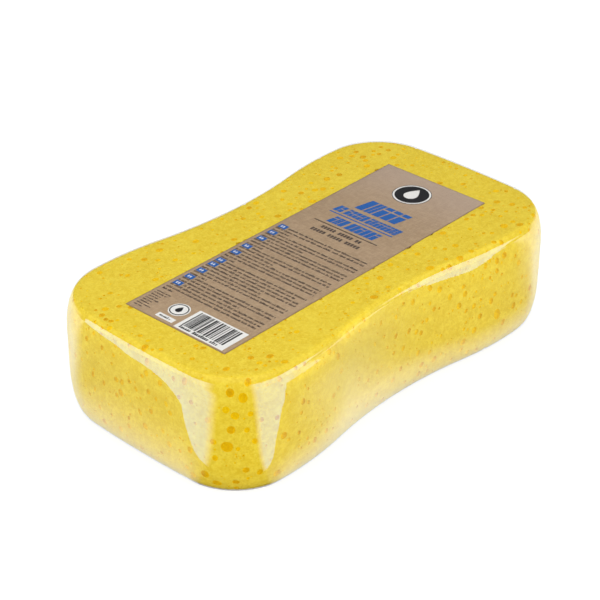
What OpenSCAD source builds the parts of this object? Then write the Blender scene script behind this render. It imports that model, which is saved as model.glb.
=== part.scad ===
// Car wash sponge, tightly wrapped in clear shrink film, with a card label under the film.
// The foam block is a rounded hourglass with two wide lobes, a shallow waist and open pores.
// Millimetres, +Z up. The origin lies on the table below the middle of the part.
// +X runs along the length and points to the label's headings, +Y runs across.

/* [Foam block] */
// Length of the foam block from end to end
foam_length = 219; // [200:1:250]
// Width of the block across each lobe
foam_width = 119.6; // [104:0.2:150]
// Height of the block
foam_height = 55.2; // [44:0.2:80]
// How far each side draws in at the waist
waist_depth = 6.4; // [3:0.1:12]
// Distance between the widest points of the two lobes
lobe_spacing = 141; // [126:1:156]
// Radius of the four upright corners
corner_radius = 32; // [22:1:38]
// Radius of the long side over each lobe
lobe_radius = 165; // [120:1:240]
// Radius of the gently crowned ends
end_radius = 570; // [300:10:1200]

/* [Edges of the block] */
// How far the wall leans in at the top edge
top_lean = 4.7; // [1:0.1:7]
// Height over which the wall leans in at the top
top_lean_height = 16; // [6:0.5:20]
// How far the wall leans in at the bottom edge
bottom_lean = 5.6; // [1:0.1:8]
// Height over which the wall leans in at the bottom
bottom_lean_height = 20; // [6:0.5:22]

/* [Pores] */
// Radius of the largest bubbles that the surface cuts open
large_pore_radius = 2.5; // [1.5:0.1:3.5]
// Radius of the smallest bubbles modelled here
small_pore_radius = 1.3; // [0.8:0.1:1.5]
// How much longer than wide a bubble is, as a share of its radius
pore_stretch = 0.4; // [0.1:0.1:1]
// Mean distance from pore to pore on the flat faces
face_pore_spacing = 22; // [16:0.5:40]
// Mean distance from pore to pore on the upright wall
wall_pore_spacing = 16; // [14:0.5:40]

/* [Film] */
// Thickness of the shrink film, drawn thicker than real film
film_wall = 0.25; // [0.2:0.05:0.5]
// Clearance between the film and what it wraps
film_gap = 0.1; // [0.08:0.01:0.3]

/* [Label] */
// Length of the card label
label_length = 171; // [150:1:190]
// Width of the card label
label_width = 57; // [50:1:80]
// Thickness of the card
label_thickness = 0.2; // [0.15:0.05:0.4]
// Place of the label's middle along the block
label_x = -2.5; // [-8:0.5:8]
// Place of the label's middle across the block
label_y = -2.5; // [-12:0.5:12]
// Small turn of the label from being laid by hand, in degrees
label_turn = 0.9; // [-2:0.1:2]
// Bare margin between the label's edge and its print
print_margin = 2; // [1:0.25:4]
// Thickness of one layer of ink, drawn thicker than real ink
ink = 0.06; // [0.04:0.01:0.1]

/* [Print] */
// Radius of the round badge
badge_radius = 9; // [6:0.5:12]
// Distance of the badge's middle from the label's far end
badge_inset = 16.5; // [12:0.5:20]
// Height of the letters that the blocks of the first heading stand for
heading_height = 10.2; // [8:0.2:12]
// Length of the two thin rules under the headings
rule_length = 36.5; // [24:0.5:46]
// Distance from one line of small print to the next
line_pitch = 2.35; // [2:0.05:3]
// Thickness of a line of small print
line_thickness = 1.05; // [0.7:0.05:1.4]
// Width of one of the blue tags that open a paragraph
tag_width = 3.4; // [2:0.1:4.5]
// Length of the white panel of the stripe code, across the label
code_length = 27; // [20:0.5:32]
// Width of the white panel of the stripe code
code_width = 16; // [12:0.5:17.5]
// Radius of the small round mark
mark_radius = 4.8; // [3:0.1:5.5]

/* [Hidden] */

// Heights, from the table up
foam_bottom = film_wall + film_gap;
foam_top = foam_bottom + foam_height;
label_top = foam_top + label_thickness;
print_top = label_top + 2 * ink;
film_top = print_top + film_gap + film_wall;

// Plan of the block, from the arcs of one quarter
half_length = foam_length / 2;
half_width = foam_width / 2;
lobe_centre = [lobe_spacing / 2, half_width - lobe_radius];
end_centre = [half_length - end_radius, 0];
waist_rise = lobe_radius - waist_depth;
waist_radius = (pow(lobe_centre.x, 2) + pow(waist_rise, 2) - pow(lobe_radius, 2)) / (2 * waist_depth);
waist_centre = [0, half_width - waist_depth + waist_radius];

// The corner touches the end arc and the lobe arc from inside, so its centre is where two circles cross
end_reach = end_radius - corner_radius;
lobe_reach = lobe_radius - corner_radius;
centre_step = lobe_centre - end_centre;
centre_gap = norm(centre_step);
along_gap = (pow(end_reach, 2) - pow(lobe_reach, 2) + pow(centre_gap, 2)) / (2 * centre_gap);
off_gap = sqrt(pow(end_reach, 2) - pow(along_gap, 2));
gap_way = centre_step / centre_gap;
corner_centre = end_centre + gap_way * along_gap + [-gap_way.y, gap_way.x] * off_gap;

// Angles at which one arc passes into the next
end_angle = atan2(corner_centre.y - end_centre.y, corner_centre.x - end_centre.x);
lobe_angle = atan2(corner_centre.y - lobe_centre.y, corner_centre.x - lobe_centre.x);
waist_angle = atan2(waist_centre.y - lobe_centre.y, waist_centre.x - lobe_centre.x);

// Steps along each arc of a quarter, and up each leaning edge
end_steps = 2;
corner_steps = 10;
lobe_steps = 4;
waist_steps = 4;
lean_steps = 5;
bubble_facets = 6;

function arc(centre, radius, from, to, steps) = [
    for (i = [0 : steps - 1])
        let (a = from + (to - from) * i / steps)
            centre + radius * [cos(a), sin(a)]
];

// Points of the quarter towards +X and +Y, each arc moved out by grow
function quarter(grow) = concat(
    arc(end_centre, end_radius + grow, 0, end_angle, end_steps),
    arc(corner_centre, corner_radius + grow, end_angle, lobe_angle, corner_steps),
    arc(lobe_centre, lobe_radius + grow, lobe_angle, waist_angle, lobe_steps),
    arc(waist_centre, waist_radius - grow, waist_angle - 180, -90, waist_steps)
);

function reversed(list) = [for (i = [len(list) - 1 : -1 : 0]) list[i]];
function without_first(list) = [for (i = [1 : len(list) - 1]) list[i]];
function mirrored_x(list) = [for (p = list) [-p.x, p.y]];
function mirrored_y(list) = [for (p = list) [p.x, -p.y]];

// Closed outline of the block, counter-clockwise from the middle of the +X end
function outline(grow) =
    let (
        q = quarter(grow),
        waist = [0, waist_centre.y - waist_radius + grow],
        upper = concat(q, [waist], reversed(without_first(mirrored_x(q)))),
        end = [-half_length - grow, 0]
    )
    concat(upper, [end], reversed(without_first(mirrored_y(upper))));

// How far the wall stands in from its widest outline, as two quarter ellipses
function lean_rows(low, high) = concat(
    [for (i = [lean_steps : -1 : 0])
        let (a = 90 * i / lean_steps)
            [low + bottom_lean_height * (1 - sin(a)), bottom_lean * (1 - cos(a))]],
    [for (i = [0 : lean_steps])
        let (a = 90 * i / lean_steps)
            [high - top_lean_height * (1 - sin(a)), top_lean * (1 - cos(a))]]
);

// Closed skin over the outline, grown outwards by grow, between two heights
module skin(grow, low, high) {
    rows = lean_rows(low, high);
    around = len(outline(0));
    last = len(rows) - 1;
    points = [
        for (row = rows)
            for (p = outline(grow - row[1]))
                [p.x, p.y, row[0]]
    ];
    bands = [
        for (r = [0 : last - 1])
            for (i = [0 : around - 1])
                let (j = (i + 1) % around)
                    for (f = [
                        [r * around + i, (r + 1) * around + i, (r + 1) * around + j],
                        [r * around + i, (r + 1) * around + j, r * around + j]
                    ]) f
    ];
    bottom = [for (i = [0 : around - 1]) i];
    top = [for (i = [around - 1 : -1 : 0]) last * around + i];
    polyhedron(points, concat([bottom], [top], bands), convexity = 6);
}

// Arc lengths along a quarter, for placing pores on the wall
turn = PI / 180;
end_run = end_radius * end_angle * turn;
corner_run = corner_radius * (lobe_angle - end_angle) * turn;
lobe_run = lobe_radius * (waist_angle - lobe_angle) * turn;
waist_run = waist_radius * (waist_angle - 90) * turn;
quarter_run = end_run + corner_run + lobe_run + waist_run;

function polar(centre, radius, a) = centre + radius * [cos(a), sin(a)];

// Point of the quarter at a distance along it from the middle of the end
function quarter_point(run, grow) =
    run < end_run
        ? polar(end_centre, end_radius + grow, run / end_radius / turn)
    : run < end_run + corner_run
        ? polar(corner_centre, corner_radius + grow, end_angle + (run - end_run) / corner_radius / turn)
    : run < end_run + corner_run + lobe_run
        ? polar(lobe_centre, lobe_radius + grow,
            lobe_angle + (run - end_run - corner_run) / lobe_radius / turn)
    : polar(waist_centre, waist_radius - grow, (quarter_run - run) / waist_radius / turn - 90)
    ;

// Place on the whole wall: a run from 0 to four quarters, moved out by grow
function wall_point(run, grow) =
    let (
        side = floor(run / quarter_run),
        along = run - side * quarter_run,
        p = quarter_point(side % 2 == 0 ? along : quarter_run - along, grow)
    )
    [side == 1 || side == 2 ? -p.x : p.x, side >= 2 ? -p.y : p.y];

// Half width of the outline at a distance from the middle, moved in by margin
function half_width_at(x, margin) =
    x < waist_radius * cos(waist_angle - 180)
        ? waist_centre.y - sqrt(pow(waist_radius + margin, 2) - x * x)
    : x < lobe_centre.x + lobe_radius * cos(lobe_angle)
        ? lobe_centre.y + sqrt(pow(lobe_radius - margin, 2) - pow(x - lobe_centre.x, 2))
    : corner_centre.y + sqrt(max(0, pow(corner_radius - margin, 2) - pow(x - corner_centre.x, 2)));

// Pores: shallowest and deepest seat as shares of the radius, and the share of each leaning edge left bare
pore_seat = [0.1, 0.5];
edge_share = 1 / 3;

// Evenly strewn places: steps by powers of the plastic number never line up
strew = 1.32471795724;
top_shift = 0.11;
bottom_shift = 0.73;
wall_shift = 0.37;
function strewn(i, shift) = [
    (shift + i / strew) % 1,
    (shift + i / pow(strew, 2)) % 1,
    (shift + i / pow(strew, 3)) % 1
];

// Most bubbles are small and a few are large, and the surface cuts each at its own depth
function pore_radius(share) = small_pore_radius + (large_pore_radius - small_pore_radius) * pow(share, 3);
function pore_depth(share) =
    (pore_seat[0] + (pore_seat[1] - pore_seat[0]) * ((share * 7) % 1)) * pore_radius(share);

// One bubble of the foam, a little longer than it is wide, with its long way turned by turn_by
module bubble(share, turn_by) {
    radius = pore_radius(share);
    half_stretch = pore_stretch * radius / 2;
    rotate(turn_by)
        hull() {
            translate([-half_stretch, 0, 0])
                sphere(r = radius, $fn = bubble_facets);
            translate([half_stretch, 0, 0])
                sphere(r = radius, $fn = bubble_facets);
        }
}

// Pores on a flat face at height z, with inward as the way into the foam
module face_pores(z, inward, shift) {
    area = foam_length * foam_width;
    edge = max(top_lean, bottom_lean) + large_pore_radius;
    for (i = [1 : round(area / pow(face_pore_spacing, 2))]) {
        s = strewn(i, shift);
        x = (s.x - 0.5) * (foam_length - 2 * edge);
        y = (s.y - 0.5) * (foam_width - 2 * edge);
        if (abs(y) < half_width_at(abs(x), edge))
            translate([x, y, z + inward * pore_depth(s.z)])
                bubble(s.z, 180 * s.x);
    }
}

// Pores all round the upright wall, clear of the two edges
module wall_pores() {
    low = foam_bottom + bottom_lean_height * edge_share;
    high = foam_top - top_lean_height * edge_share;
    run = 4 * quarter_run;
    for (i = [1 : round(run * (high - low) / pow(wall_pore_spacing, 2))]) {
        s = strewn(i, wall_shift);
        z = low + s.y * (high - low);
        p = wall_point(s.x * run, -wall_lean(z) - pore_depth(s.z));
        translate([p.x, p.y, z])
            bubble(s.z, 180 * s.y);
    }
}

// How far the wall stands in from its widest outline at height z
function wall_lean(z) =
    let (
        under = max(0, foam_bottom + bottom_lean_height - z) / bottom_lean_height,
        over = max(0, z - foam_top + top_lean_height) / top_lean_height
    )
    bottom_lean * (1 - sqrt(1 - under * under)) + top_lean * (1 - sqrt(1 - over * over));

module sponge() {
    color("gold")
        difference() {
            skin(0, foam_bottom, foam_top);
            face_pores(foam_top, -1, top_shift);
            face_pores(foam_bottom, 1, bottom_shift);
            wall_pores();
        }
}

module film_wrap() {
    color([0.9, 0.95, 1, 0.3])
        difference() {
            skin(film_gap + film_wall, 0, film_top);
            skin(film_gap, film_wall, film_top - film_wall);
        }
}

// The label lies flat on the foam: its own +X is the way up of the print, its lines run along -Y
module on_label(z) {
    translate([label_x, label_y, z])
        rotate(label_turn)
            children();
}

module label() {
    color("rosybrown")
        on_label(foam_top)
            translate([-label_length / 2, -label_width / 2, 0])
                cube([label_length, label_width, label_thickness]);
}

// A field of ink: far is measured from the label's far end, across from its +Y edge
module field(far, across, deep, wide) {
    translate([label_length / 2 - far - deep, label_width / 2 - across - wide, 0])
        cube([deep, wide, ink]);
}
module far_place(far, across) {
    translate([label_length / 2 - far, label_width / 2 - across, 0])
        children();
}
// The same, measured from the label's near end
module near_field(near, across, deep, wide) {
    field(label_length - near - deep, across, deep, wide);
}
module near_place(near, across) {
    far_place(label_length - near, across)
        children();
}

// Rows of the headings, each measured from the label's far end
heading_gap = 1.6;
small_heading = heading_height * 0.55;
last_heading = heading_height * 0.65;
first_row = 2 * badge_inset;
second_row = first_row + heading_height + heading_gap;
first_rule = second_row + small_heading + heading_gap;
third_row = first_rule + 2 * heading_gap;
second_rule = third_row + last_heading + heading_gap;
rule_across = (label_width - rule_length) / 2;
rule_thickness = 0.8;

// Words of the headings: start from the label's middle line, width and number of letters
first_words = [[-12.5, 24, 5]];
second_words = [[-19, 5, 2], [-13, 12, 5], [-0.5, 18, 8]];
third_words = [[-14, 9, 3], [-4, 17, 6]];
letter_slant = 0.2;
letter_share = 0.82;

// Two plain notes below the second rule: distance from it and width
notes = [[2.2, 23], [6.6, 28]];
note_height = 2.6;

// Small print: ten paragraphs, their line counts, and how much of the width the last line fills
paragraph_lines = [3, 3, 4, 3, 4, 2, 3, 3, 3, 4];
last_line_share = [0.25, 0.5, 0.15, 0.4, 0.1, 0.9, 0.65, 0.15, 0.7, 0.15];
notes_reach = 15.5;
small_print_start = second_rule + notes_reach;
function sum_before(list, n) = n == 0 ? 0 : list[n - 1] + sum_before(list, n - 1);
function line_far(k, n) = small_print_start + (sum_before(paragraph_lines, k) + n) * line_pitch;
function fits(far) = far + line_thickness < small_print_end;
tag_length = tag_width * 1.3;
tag_gap = 0.6;

// Stripe code: panel at the near corner, its stripes are of no number
panel_margin = print_margin / 2;
code_across = label_width - panel_margin - code_length;
code_border = 2;
code_foot = 3;
stripe_count = 24;
stripe_pitch = (code_length - 2 * code_border) / stripe_count;
stripe_length = code_width - code_foot - code_border / 2;
thinnest_stripe = 0.35;
stripe_step = 0.1;

// Round mark beside the stripe code, and below it a small white plate with a dark line on it
mark_up = 11.5;
mark_gap = 4.2;
mark_across = code_across - mark_gap - mark_radius;
mark_rim = [0.86, 0.74];
mark_drop = 0.25;
plate_size = [3, 9.5];
plate_line = [1, 5.5];
plate_across = mark_across - plate_size.y / 2;

// Address lines at the other near corner, the shortest as a share of their room
address_pitch = 1.7;
address_lines = 9;
address_thickness = 0.8;
address_start = print_margin + 0.4;
address_gap = 1;
address_room = mark_across - mark_radius - print_margin - address_gap;
shortest_address = 0.33;
address_step = 0.08;

// Small print stops above whatever stands highest at the near end
address_top = address_start + (address_lines - 1) * address_pitch + address_thickness;
foot_height = max(panel_margin + code_width, mark_up + mark_radius, address_top);
small_print_end = label_length - foot_height;

// Dark disc of the badge and its water drop, as shares of the badge
badge_disc = 0.92;
badge_drop = 0.36;
round_facets = 72;
drop_facets = 48;

// Parallelogram blocks that stand for the letters of a heading's words
module heading(far, height, words) {
    lean = height * letter_slant;
    for (word = words) {
        pitch = word[1] / word[2];
        letter = pitch * letter_share;
        for (i = [0 : word[2] - 1])
            far_place(far + height, label_width / 2 + word[0] + i * pitch)
                linear_extrude(ink)
                    polygon([[0, 0], [height, -lean], [height, -lean - letter], [0, -letter]]);
    }
}

module drop(size) {
    circle(r = size, $fn = drop_facets);
    rotate(45)
        square(size);
}

module print_blue() {
    color("royalblue")
        on_label(label_top) {
            heading(first_row, heading_height, first_words);
            heading(second_row, small_heading, second_words);
            field(first_rule, rule_across, rule_thickness, rule_length);
            heading(third_row, last_heading, third_words);
            for (k = [0 : len(paragraph_lines) - 1]) {
                far = line_far(k, 0);
                if (fits(far))
                    field(far - (tag_width - line_thickness) / 2, print_margin, tag_width, tag_length);
            }
        }
}

module print_white() {
    color("white")
        on_label(label_top) {
            far_place(badge_inset, label_width / 2)
                cylinder(r = badge_radius, h = ink, $fn = round_facets);
            near_field(panel_margin, code_across, code_width, code_length);
            near_place(mark_up, mark_across)
                cylinder(r = mark_radius, h = ink, $fn = round_facets);
            near_field(print_margin, plate_across, plate_size.x, plate_size.y);
        }
}

module print_dark() {
    color("dimgray")
        on_label(label_top) {
            paragraphs();
            address();
            field(second_rule, rule_across, rule_thickness, rule_length);
            for (note = notes)
                field(second_rule + note[0], (label_width - note[1]) / 2, note_height, note[1]);
            translate([0, 0, ink]) {
                stripes();
                badge();
                round_mark();
                plate_print();
            }
        }
}

module paragraphs() {
    for (k = [0 : len(paragraph_lines) - 1])
        for (n = [0 : paragraph_lines[k] - 1]) {
            far = line_far(k, n);
            start = n == 0 ? print_margin + tag_length + tag_gap : print_margin;
            full = label_width - print_margin - start;
            wide = n == paragraph_lines[k] - 1 ? full * last_line_share[k] : full;
            if (fits(far))
                field(far, start, line_thickness, wide);
        }
}

module address() {
    for (n = [0 : address_lines - 1])
        near_field(
            address_start + n * address_pitch,
            print_margin,
            address_thickness,
            address_room * (shortest_address + address_step * ((n * 5) % 4))
        );
}

module stripes() {
    for (i = [0 : stripe_count - 1])
        near_field(
            panel_margin + code_foot,
            code_across + code_border + i * stripe_pitch,
            stripe_length,
            stripe_pitch * (thinnest_stripe + stripe_step * ((i * 7) % 4))
        );
}

module plate_print() {
    edge = (plate_size - plate_line) / 2;
    near_field(print_margin + edge.x, plate_across + edge.y, plate_line.x, plate_line.y);
}

// Dark disc with a water drop left open in it
module badge() {
    far_place(badge_inset, label_width / 2)
        linear_extrude(ink)
            difference() {
                circle(r = badge_radius * badge_disc, $fn = round_facets);
                drop(badge_radius * badge_drop);
            }
}

module round_mark() {
    near_place(mark_up, mark_across)
        linear_extrude(ink) {
            difference() {
                circle(r = mark_radius * mark_rim[0], $fn = round_facets);
                circle(r = mark_radius * mark_rim[1], $fn = round_facets);
            }
            drop(mark_radius * mark_drop);
        }
}

film_wrap();
sponge();
label();
print_white();
print_blue();
print_dark();
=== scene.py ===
import math
import random

import bpy
from mathutils import Matrix, Vector


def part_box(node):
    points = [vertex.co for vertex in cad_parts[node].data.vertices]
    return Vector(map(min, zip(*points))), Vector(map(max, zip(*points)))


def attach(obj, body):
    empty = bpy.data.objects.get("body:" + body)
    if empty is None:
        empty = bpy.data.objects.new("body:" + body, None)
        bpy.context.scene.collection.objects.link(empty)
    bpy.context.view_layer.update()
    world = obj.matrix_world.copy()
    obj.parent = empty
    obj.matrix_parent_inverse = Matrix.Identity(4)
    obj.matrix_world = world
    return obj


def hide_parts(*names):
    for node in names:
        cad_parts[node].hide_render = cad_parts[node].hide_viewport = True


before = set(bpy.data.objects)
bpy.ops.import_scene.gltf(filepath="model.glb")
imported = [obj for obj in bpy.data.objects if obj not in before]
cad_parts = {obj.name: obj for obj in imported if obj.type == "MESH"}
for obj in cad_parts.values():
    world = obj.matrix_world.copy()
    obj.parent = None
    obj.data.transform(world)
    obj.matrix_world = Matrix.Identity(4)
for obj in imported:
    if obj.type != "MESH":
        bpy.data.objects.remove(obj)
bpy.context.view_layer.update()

mm = 0.001
print("frame loaded, nodes:", sorted(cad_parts))


# Small helpers for selecting and finishing pieces

def leaveEdit():
    if bpy.context.mode != "OBJECT":
        bpy.ops.object.mode_set(mode="OBJECT")


def pick(obj, others=()):
    leaveEdit()
    bpy.ops.object.select_all(action="DESELECT")
    for other in others:
        other.select_set(True)
    obj.select_set(True)
    bpy.context.view_layer.objects.active = obj
    return obj


def edit(obj, kind="FACE"):
    pick(obj)
    bpy.ops.object.mode_set(mode="EDIT")
    bpy.ops.mesh.select_mode(type=kind)
    bpy.ops.mesh.select_all(action="SELECT")


# test takes a face's middle and its normal
def selectFaces(obj, test):
    leaveEdit()
    for part in (obj.data.vertices, obj.data.edges):
        part.foreach_set("select", [False] * len(part))
    for face in obj.data.polygons:
        face.select = bool(test(face.center, face.normal))
    bpy.ops.object.mode_set(mode="EDIT")
    bpy.ops.mesh.select_mode(type="FACE")


def applyModifier(obj, kind, **settings):
    pick(obj)
    modifier = obj.modifiers.new(kind.lower(), kind)
    for key, value in settings.items():
        setattr(modifier, key, value)
    bpy.ops.object.modifier_apply(modifier=modifier.name)


# Gives a piece its name and puts its place in its mesh
def settle(obj, name):
    pick(obj)
    bpy.ops.object.transform_apply(location=True, rotation=True, scale=True)
    obj.name = name
    obj.data.name = name
    return obj


def joined(parts, name):
    pick(parts[0], parts[1:])
    if len(parts) > 1:
        bpy.ops.object.join()
    return settle(parts[0], name)


def copyOf(obj, matrix):
    twin = obj.copy()
    twin.data = obj.data.copy()
    twin.data.transform(matrix)
    bpy.context.collection.objects.link(twin)
    return twin


def smooth(obj, angle=35):
    pick(obj)
    bpy.ops.object.shade_smooth_by_angle(angle=math.radians(angle))


def mend(obj):
    edit(obj)
    bpy.ops.mesh.remove_doubles(threshold=0.001 * mm)
    bpy.ops.mesh.normals_make_consistent(inside=False)
    leaveEdit()


# Camera, at the photograph's viewing angle

view = {
    "azimuth": -0.825,      # radians, from looking along +Y
    "elevation": 0.549,
    "roll": 0.006,
    "distance": 894.6,      # mm from the aim point
    "aim": (30.31, 35.74, 0),
    "focalPixels": 1888.2,  # focal length in pixels of a 600 pixel wide picture
    "pictureWidth": 600,
}


def makeCamera():
    az, el, roll = view["azimuth"], view["elevation"], view["roll"]
    back = Vector((math.sin(az) * math.cos(el), -math.cos(az) * math.cos(el), math.sin(el)))
    place = Vector(view["aim"]) * mm + back * view["distance"] * mm
    right = (-back).cross(Vector((0, 0, 1))).normalized()
    up = back.cross(right)
    tiltRight = right * math.cos(roll) + up * math.sin(roll)
    tiltUp = up * math.cos(roll) - right * math.sin(roll)
    data = bpy.data.cameras.new("camera")
    data.sensor_width = 36
    data.lens = data.sensor_width * view["focalPixels"] / view["pictureWidth"]
    data.clip_start = 0.01
    camera = bpy.data.objects.new("camera", data)
    camera.matrix_world = Matrix.Translation(place) @ Matrix((tiltRight, tiltUp, back)).transposed().to_4x4()
    bpy.context.scene.collection.objects.link(camera)
    bpy.context.scene.camera = camera
    return camera


camera = makeCamera()
print("camera placed")


# Start and direction of the line of sight through a pixel of the photograph
def pixelRay(x, y):
    half = view["pictureWidth"] / 2
    turn = camera.matrix_world.to_3x3()
    way = turn @ Vector((x - half, half - y, -view["focalPixels"]))
    return camera.matrix_world.translation, way.normalized()


# Shader writing: a socket that takes part in Python expressions, and one way to make any other node

class Signal:
    def __init__(self, finish, socket):
        self.finish = finish
        self.socket = socket

    def math(self, operation, *values):
        return self.finish.node("ShaderNodeMath", {"operation": operation}, dict(enumerate(values)))

    def __add__(self, other):
        return self.math("ADD", self, other)

    def __radd__(self, other):
        return self.math("ADD", other, self)

    def __sub__(self, other):
        return self.math("SUBTRACT", self, other)

    def __rsub__(self, other):
        return self.math("SUBTRACT", other, self)

    def __mul__(self, other):
        return self.math("MULTIPLY", self, other)

    def __rmul__(self, other):
        return self.math("MULTIPLY", other, self)

    def __truediv__(self, other):
        return self.math("DIVIDE", self, other)

    def __rtruediv__(self, other):
        return self.math("DIVIDE", other, self)

    def __pow__(self, other):
        return self.math("POWER", self, other)

    def __abs__(self):
        return self.math("ABSOLUTE", self)

    # 0 below low, 1 above high and smooth between
    def ramp(self, low, high):
        return self.finish.node(
            "ShaderNodeMapRange",
            {"interpolation_type": "SMOOTHSTEP"},
            {"Value": self, "From Min": low, "From Max": high},
        )


class Finish:
    def __init__(self, name, owner=None):
        self.owner = owner or bpy.data.materials.new(name)
        self.owner.use_nodes = True
        self.tree = self.owner.node_tree
        self.tree.nodes.clear()

    def node(self, kind, settings=None, inputs=None, output=0):
        made = self.tree.nodes.new(kind)
        for key, value in (settings or {}).items():
            setattr(made, key, value)
        for key, value in (inputs or {}).items():
            if isinstance(value, Signal):
                self.tree.links.new(value.socket, made.inputs[key])
            else:
                made.inputs[key].default_value = value
        return Signal(self, made.outputs[output])

    def noise(self, scale, detail=2, roughness=0.5, vector=None, **more):
        inputs = {"Scale": scale, "Detail": detail, "Roughness": roughness, **more}
        if vector:
            inputs["Vector"] = vector
        return self.node("ShaderNodeTexNoise", {}, inputs)

    def place(self, rotation=(0, 0, 0), scale=(1, 1, 1), location=(0, 0, 0)):
        coords = self.node("ShaderNodeTexCoord", output="Object")
        return self.node(
            "ShaderNodeMapping",
            {},
            {"Vector": coords, "Location": location, "Rotation": rotation, "Scale": scale},
        )

    # Colour from low to high by share
    def blend(self, share, low, high):
        return self.node(
            "ShaderNodeMix",
            {"data_type": "RGBA"},
            {0: share, 6: low if isinstance(low, Signal) else (*low, 1),
             7: high if isinstance(high, Signal) else (*high, 1)},
            output=2,
        )

    def principled(self, **sockets):
        return self.node("ShaderNodeBsdfPrincipled", {}, {k.replace("_", " "): v for k, v in sockets.items()})

    def output(self, surface, kind="ShaderNodeOutputMaterial"):
        out = self.tree.nodes.new(kind)
        self.tree.links.new(surface.socket, out.inputs["Surface"])
        return self.owner


# Linear colour of a screen colour
def srgb(red, green, blue):
    return tuple(
        c / 12.92 if c < 0.04045 else ((c + 0.055) / 1.055) ** 2.4
        for c in (red / 255, green / 255, blue / 255)
    )


def assign(obj, slotName, *nodes):
    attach(obj, "root")
    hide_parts(*nodes)


def dress(obj, material, slotName, *nodes):
    obj.data.materials.clear()
    obj.data.materials.append(material)
    assign(obj, slotName, *nodes)


# Block shape, shared by the foam and its film: an hourglass outline of arcs with leaning edges

block = {
    "waistDepth": 6.4,
    "lobeSpacing": 141,
    "cornerRadius": 32,
    "lobeRadius": 165,
    "endRadius": 570,
    "topLean": 4.7,
    "topLeanHeight": 16,
    "bottomLean": 5.6,
    "bottomLeanHeight": 20,
}
foamLow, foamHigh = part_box("sponge")
filmLow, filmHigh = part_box("film_wrap")


# Centre, sweep in degrees and step count of each arc, once around from the middle of the +X end
def blockArcs(steps):
    halfLength = foamHigh.x / mm
    halfWidth = foamHigh.y / mm
    lobe = Vector((block["lobeSpacing"] / 2, halfWidth - block["lobeRadius"]))
    end = Vector((halfLength - block["endRadius"], 0))
    rise = block["lobeRadius"] - block["waistDepth"]
    waistRadius = (lobe.x ** 2 + rise ** 2 - block["lobeRadius"] ** 2) / (2 * block["waistDepth"])
    waist = Vector((0, halfWidth - block["waistDepth"] + waistRadius))
    endReach = block["endRadius"] - block["cornerRadius"]
    lobeReach = block["lobeRadius"] - block["cornerRadius"]
    step = lobe - end
    gap = step.length
    along = (endReach ** 2 - lobeReach ** 2 + gap ** 2) / (2 * gap)
    off = math.sqrt(endReach ** 2 - along ** 2)
    way = step / gap
    corner = end + way * along + Vector((-way.y, way.x)) * off

    def bearing(a, b):
        return math.degrees(math.atan2(b.y - a.y, b.x - a.x))

    endTurn = bearing(end, corner)
    cornerTurn = bearing(lobe, corner) - endTurn
    lobeTurn = bearing(lobe, waist) - bearing(lobe, corner)
    waistTurn = 90 - bearing(lobe, waist)
    quarter = [
        (end, endTurn, steps["end"]),
        (corner, cornerTurn, steps["corner"]),
        (lobe, lobeTurn, steps["lobe"]),
        (waist, waistTurn, steps["waist"]),
    ]
    arcs = []
    for sx, sy in ((1, 1), (-1, 1), (-1, -1), (1, -1)):
        run = quarter if sx * sy > 0 else reversed(quarter)
        arcs += [(Vector((c.x * sx, c.y * sy)), turn, count) for c, turn, count in run]
    return arcs


# Closed skin of the block between two corners of a box
def makeBlock(name, low, high, steps):
    grow = high.x / mm - foamHigh.x / mm
    wide = low.z / mm + block["bottomLeanHeight"]
    straight = high.z / mm - block["topLeanHeight"] - wide
    bpy.ops.object.select_all(action="DESELECT")
    bpy.ops.mesh.primitive_plane_add(size=mm, location=(0, 0, 0))
    skin = bpy.context.object
    edit(skin, "VERT")
    bpy.ops.mesh.merge(type="CENTER")
    bpy.ops.transform.translate(value=(high.x, 0, wide * mm))
    for centre, turn, count in blockArcs(steps):
        bpy.ops.mesh.spin(
            steps=count, angle=-math.radians(turn), center=(centre.x * mm, centre.y * mm, 0), axis=(0, 0, 1)
        )
    bpy.ops.mesh.select_all(action="SELECT")
    bpy.ops.mesh.remove_doubles(threshold=0.01 * mm)
    bpy.ops.mesh.edge_face_add()
    for i in range(steps["straight"]):
        bpy.ops.mesh.extrude_region_move(
            TRANSFORM_OT_translate={"value": (0, 0, straight / steps["straight"] * mm)}
        )
    lean(block["topLean"], block["topLeanHeight"], steps)
    selectFaces(skin, lambda middle, normal: normal.z < -0.9)
    lean(block["bottomLean"], block["bottomLeanHeight"], steps)
    leaveEdit()
    mend(skin)
    smooth(skin)
    print(name, "block of", len(skin.data.polygons), "faces, grown by", round(grow, 2), "mm")
    return settle(skin, name)


# Rounds the selected cap over, as a quarter of an ellipse
def lean(inset, height, steps):
    rows = steps["lean"]
    for i in range(rows):
        before, after = math.pi / 2 * i / rows, math.pi / 2 * (i + 1) / rows
        bpy.ops.mesh.inset(
            thickness=inset * (math.cos(before) - math.cos(after)) * mm,
            depth=height * (math.sin(after) - math.sin(before)) * mm,
        )
    bpy.ops.mesh.inset(thickness=steps["capRim"] * mm, depth=0)


# Foam block and its pores

foamValues = {
    "steps": {"end": 3, "corner": 12, "lobe": 7, "waist": 6, "straight": 5, "lean": 6, "capRim": 2},
    "poreCount": 2500,
    "seed": 31,              # the order of the block's faces varies by run, and with it where pores land
    "smallest": 0.42,        # radius in mm
    "largest": 1.6,
    "smallPower": 3.0,       # the higher, the more of the pores are small
    "spacing": 1.08,         # least distance between two pores, in sums of their radii
    "deeperOnTop": 0.12,     # in radii
    "widerOnTop": 1.12,
    "fill": 0.95,
    "colour": srgb(238, 211, 54),
    "pale": srgb(246, 226, 82),
    "deep": srgb(219, 184, 28),
    # Pore walls, painted shade and bounce light: a deeper, more saturated yellow than the skin
    "poreWallPaintedShade": srgb(249, 218, 5),
    "poreShade": srgb(238, 199, 2),
}

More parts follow.
